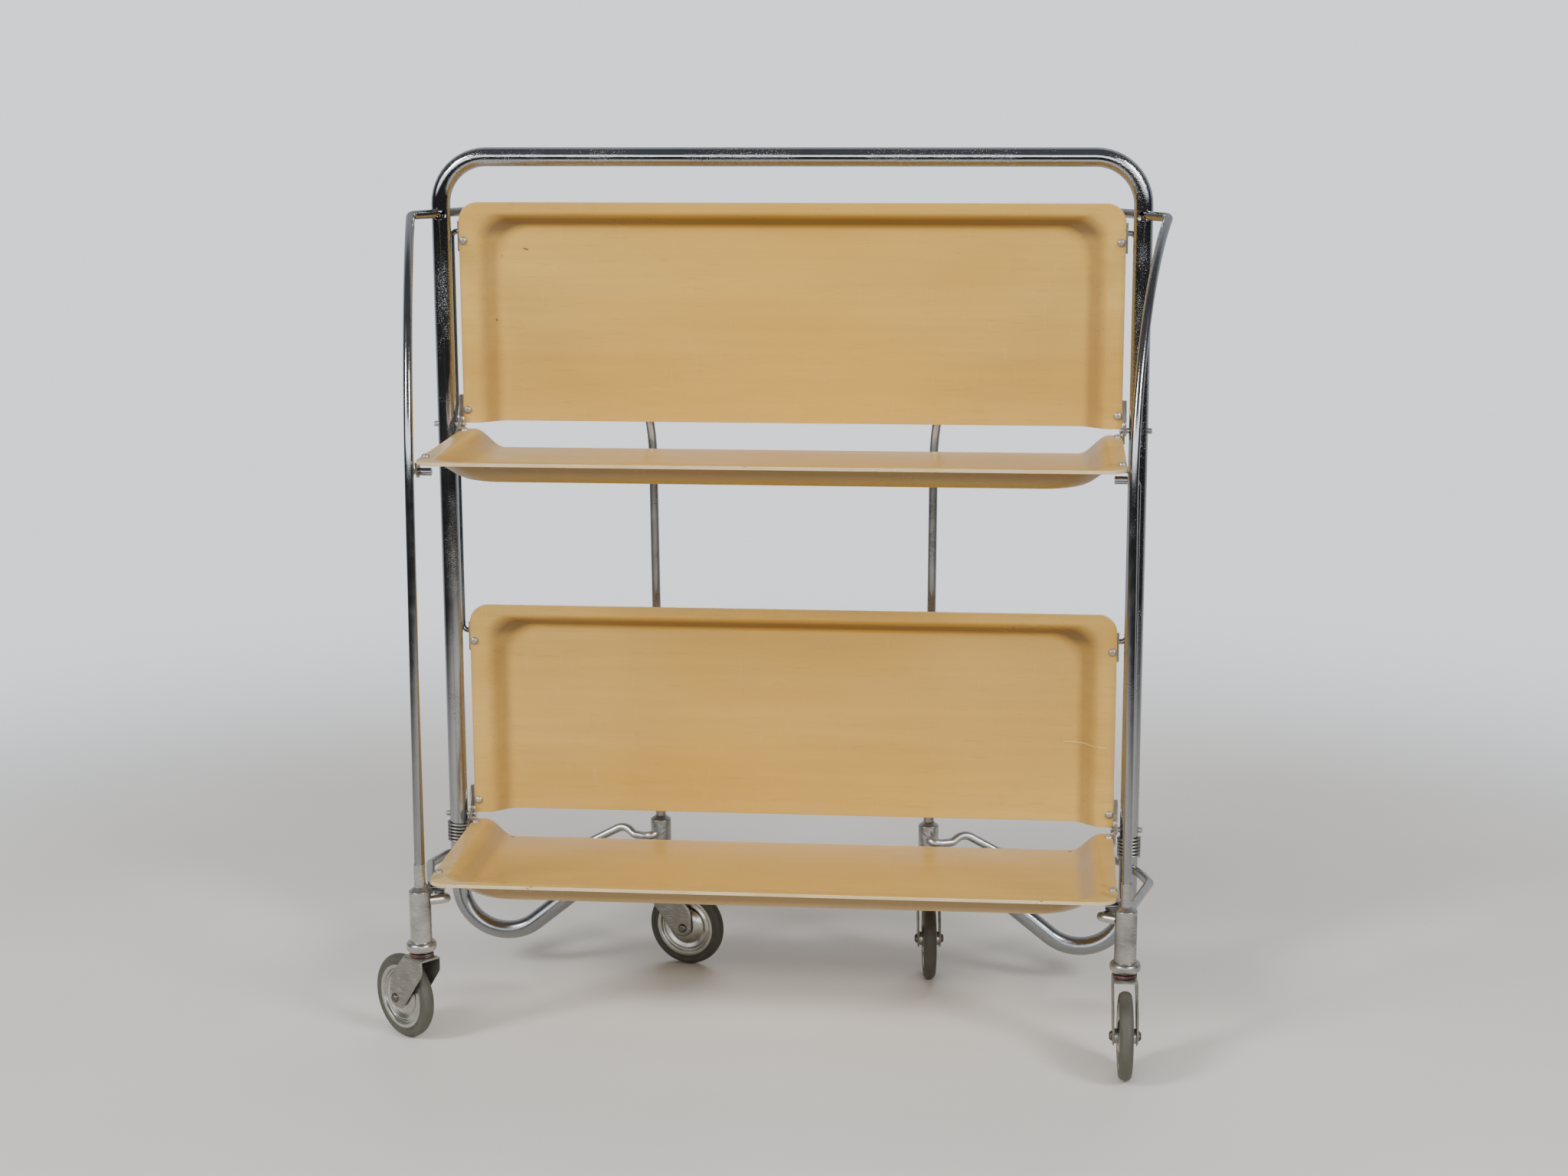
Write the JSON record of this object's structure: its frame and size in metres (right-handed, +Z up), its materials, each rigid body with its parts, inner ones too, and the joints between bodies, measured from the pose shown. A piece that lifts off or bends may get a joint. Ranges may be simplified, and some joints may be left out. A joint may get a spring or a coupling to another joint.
{
  "type": "drop leaf tea trolley",
  "caption": "Folding tea trolley: chrome tube hoop with drop-leaf moulded plywood trays above and below, joined by link rods and held by swing-out gate legs on swivel castors.",
  "frame": {"origin": "middle of the footprint, on the floor", "axes": "+X to the trolley's right seen from its front, along the trays; +Y to the rear; +Z up"},
  "size_m": [0.6927, 0.3117, 0.7705],
  "materials": {
    "chrome_tube": "polished, lightly pitted",
    "steel_pins": "satin",
    "spring_wire": "dull",
    "plywood": "satin lacquer",
    "plated_plate": "satin",
    "rivet_nickel": "polished",
    "chrome_rod": "polished",
    "socket_steel": "dull chrome",
    "fork_steel": "dull plated",
    "stem_steel": "satin",
    "washer_steel": "tarnished",
    "axle_steel": "satin",
    "wheel_disc": "satin",
    "tyre_rubber": "matt"
  },
  "bodies": {
    "frame": {"frame_tube": "chrome_tube", "hinge_pins": "steel_pins", "spring_left": "spring_wire", "spring_right": "spring_wire"},
    "front_upper_leaf": {"front_upper_tray": "plywood", "front_upper_hinge_plates": "plated_plate", "front_upper_outer_brackets": "plated_plate", "front_upper_rivets": "rivet_nickel"},
    "front_lower_leaf": {"front_lower_tray": "plywood", "front_lower_hinge_plates": "plated_plate", "front_lower_outer_brackets": "plated_plate", "front_lower_rivets": "rivet_nickel"},
    "rear_upper_leaf": {"rear_upper_tray": "plywood", "rear_upper_hinge_plates": "plated_plate", "rear_upper_outer_brackets": "plated_plate", "rear_upper_rivets": "rivet_nickel"},
    "rear_lower_leaf": {"rear_lower_tray": "plywood", "rear_lower_hinge_plates": "plated_plate", "rear_lower_outer_brackets": "plated_plate", "rear_lower_rivets": "rivet_nickel"},
    "front_left_link_rod": {"front_left_link": "chrome_rod"},
    "front_left_gate": {"front_left_leg": "chrome_rod", "front_left_arm": "chrome_rod", "front_left_castor_socket": "socket_steel"},
    "front_left_castor": {"front_left_castor_fork": "fork_steel", "front_left_castor_stem": "stem_steel", "front_left_castor_washer": "washer_steel", "front_left_castor_axle": "axle_steel"},
    "front_left_roller": {"front_left_castor_wheel": "wheel_disc", "front_left_castor_tyre": "tyre_rubber"},
    "front_right_link_rod": {"front_right_link": "chrome_rod"},
    "front_right_gate": {"front_right_leg": "chrome_rod", "front_right_arm": "chrome_rod", "front_right_castor_socket": "socket_steel"},
    "front_right_castor": {"front_right_castor_fork": "fork_steel", "front_right_castor_stem": "stem_steel", "front_right_castor_washer": "washer_steel", "front_right_castor_axle": "axle_steel"},
    "front_right_roller": {"front_right_castor_wheel": "wheel_disc", "front_right_castor_tyre": "tyre_rubber"},
    "rear_left_link_rod": {"rear_left_link": "chrome_rod"},
    "rear_left_gate": {"rear_left_leg": "chrome_rod", "rear_left_arm": "chrome_rod", "rear_left_castor_socket": "socket_steel"},
    "rear_left_castor": {"rear_left_castor_fork": "fork_steel", "rear_left_castor_stem": "stem_steel", "rear_left_castor_washer": "washer_steel", "rear_left_castor_axle": "axle_steel"},
    "rear_left_roller": {"rear_left_castor_wheel": "wheel_disc", "rear_left_castor_tyre": "tyre_rubber"},
    "rear_right_link_rod": {"rear_right_link": "chrome_rod"},
    "rear_right_gate": {"rear_right_leg": "chrome_rod", "rear_right_arm": "chrome_rod", "rear_right_castor_socket": "socket_steel"},
    "rear_right_castor": {"rear_right_castor_fork": "fork_steel", "rear_right_castor_stem": "stem_steel", "rear_right_castor_washer": "washer_steel", "rear_right_castor_axle": "axle_steel"},
    "rear_right_roller": {"rear_right_castor_wheel": "wheel_disc", "rear_right_castor_tyre": "tyre_rubber"}
  },
  "joints": [
    {"name": "front_upper_hinge", "type": "hinge", "parent": "frame", "child": "front_upper_leaf", "pos_m": [0.0099, 0.1016, 0.5216], "axis": [-1, 0, 0], "range_deg": [0, 90]},
    {"name": "front_lower_hinge", "type": "hinge", "parent": "frame", "child": "front_lower_leaf", "pos_m": [0.0099, 0.1016, 0.1524], "axis": [-1, 0, 0], "range_deg": [0, 90]},
    {"name": "front_left_link_pivot", "type": "hinge", "parent": "front_upper_leaf", "child": "front_left_link_rod", "pos_m": [-0.2901, -0.0716, 0.5056], "axis": [-1, 0, 0], "range_deg": [-90, 0]},
    {"name": "front_right_link_pivot", "type": "hinge", "parent": "front_upper_leaf", "child": "front_right_link_rod", "pos_m": [0.3099, -0.0716, 0.5056], "axis": [-1, 0, 0], "range_deg": [-90, 0]},
    {"name": "rear_upper_hinge", "type": "hinge", "parent": "frame", "child": "rear_upper_leaf", "pos_m": [0.0099, 0.1016, 0.5216], "axis": [-1, 0, 0], "range_deg": [-1, 0]},
    {"name": "rear_lower_hinge", "type": "hinge", "parent": "frame", "child": "rear_lower_leaf", "pos_m": [0.0099, 0.1016, 0.1524], "axis": [-1, 0, 0], "range_deg": [-1, 0]},
    {"name": "rear_left_link_pivot", "type": "hinge", "parent": "rear_upper_leaf", "child": "rear_left_link_rod", "pos_m": [-0.2901, 0.1176, 0.6948], "axis": [-1, 0, 0], "range_deg": [0, 1]},
    {"name": "rear_right_link_pivot", "type": "hinge", "parent": "rear_upper_leaf", "child": "rear_right_link_rod", "pos_m": [0.3099, 0.1176, 0.6948], "axis": [-1, 0, 0], "range_deg": [0, 1]},
    {"name": "front_left_gate_hinge", "type": "hinge", "parent": "frame", "child": "front_left_gate", "pos_m": [-0.3026, 0.0971, 0.712], "axis": [0, 0, -1], "range_deg": [0, 0.5], "stiffness_Nm_per_rad": 0.5, "springref_deg": -96.7},
    {"name": "front_left_swivel", "type": "hinge", "parent": "front_left_gate", "child": "front_left_castor", "pos_m": [-0.29502, -0.09174, 0.085], "axis": [0, 0, 1], "continuous": true},
    {"name": "front_left_wheel_spin", "type": "hinge", "parent": "front_left_castor", "child": "front_left_roller", "pos_m": [-0.31532, -0.07471, 0.0375], "axis": [-0.6428, -0.766, 0], "continuous": true},
    {"name": "front_right_gate_hinge", "type": "hinge", "parent": "frame", "child": "front_right_gate", "pos_m": [0.3224, 0.0971, 0.712], "axis": [0, 0, 1], "range_deg": [0, 0.5], "stiffness_Nm_per_rad": 0.5, "springref_deg": -96.7},
    {"name": "front_right_swivel", "type": "hinge", "parent": "front_right_gate", "child": "front_right_castor", "pos_m": [0.31482, -0.09174, 0.085], "axis": [0, 0, 1], "continuous": true},
    {"name": "front_right_wheel_spin", "type": "hinge", "parent": "front_right_castor", "child": "front_right_roller", "pos_m": [0.31528, -0.11824, 0.0375], "axis": [0.9998, 0.0175, 0], "continuous": true},
    {"name": "rear_left_gate_hinge", "type": "hinge", "parent": "frame", "child": "rear_left_gate", "pos_m": [-0.3026, 0.1061, 0.712], "axis": [0, 0, 1], "range_deg": [0, 76.7], "stiffness_Nm_per_rad": 0.5, "springref_deg": -20},
    {"name": "rear_left_swivel", "type": "hinge", "parent": "rear_left_gate", "child": "rear_left_castor", "pos_m": [-0.11708, 0.14216, 0.085], "axis": [0, 0, 1], "continuous": true},
    {"name": "rear_left_wheel_spin", "type": "hinge", "parent": "rear_left_castor", "child": "rear_left_roller", "pos_m": [-0.09187, 0.13397, 0.0375], "axis": [0.309, 0.9511, 0], "continuous": true},
    {"name": "rear_right_gate_hinge", "type": "hinge", "parent": "frame", "child": "rear_right_gate", "pos_m": [0.3224, 0.1061, 0.712], "axis": [0, 0, -1], "range_deg": [0, 76.7], "stiffness_Nm_per_rad": 0.5, "springref_deg": -20},
    {"name": "rear_right_swivel", "type": "hinge", "parent": "rear_right_gate", "child": "rear_right_castor", "pos_m": [0.13688, 0.14216, 0.085], "axis": [0, 0, 1], "continuous": true},
    {"name": "rear_right_wheel_spin", "type": "hinge", "parent": "rear_right_castor", "child": "rear_right_roller", "pos_m": [0.13919, 0.11576, 0.0375], "axis": [0.9962, 0.0872, 0], "continuous": true}
  ],
  "couplings": [
    {"joint": "front_lower_hinge", "follows": "front_upper_hinge", "ratio": 1},
    {"joint": "front_left_link_pivot", "follows": "front_upper_hinge", "ratio": -1},
    {"joint": "front_right_link_pivot", "follows": "front_upper_hinge", "ratio": -1},
    {"joint": "rear_lower_hinge", "follows": "rear_upper_hinge", "ratio": 1},
    {"joint": "rear_left_link_pivot", "follows": "rear_upper_hinge", "ratio": -1},
    {"joint": "rear_right_link_pivot", "follows": "rear_upper_hinge", "ratio": -1}
  ]
}
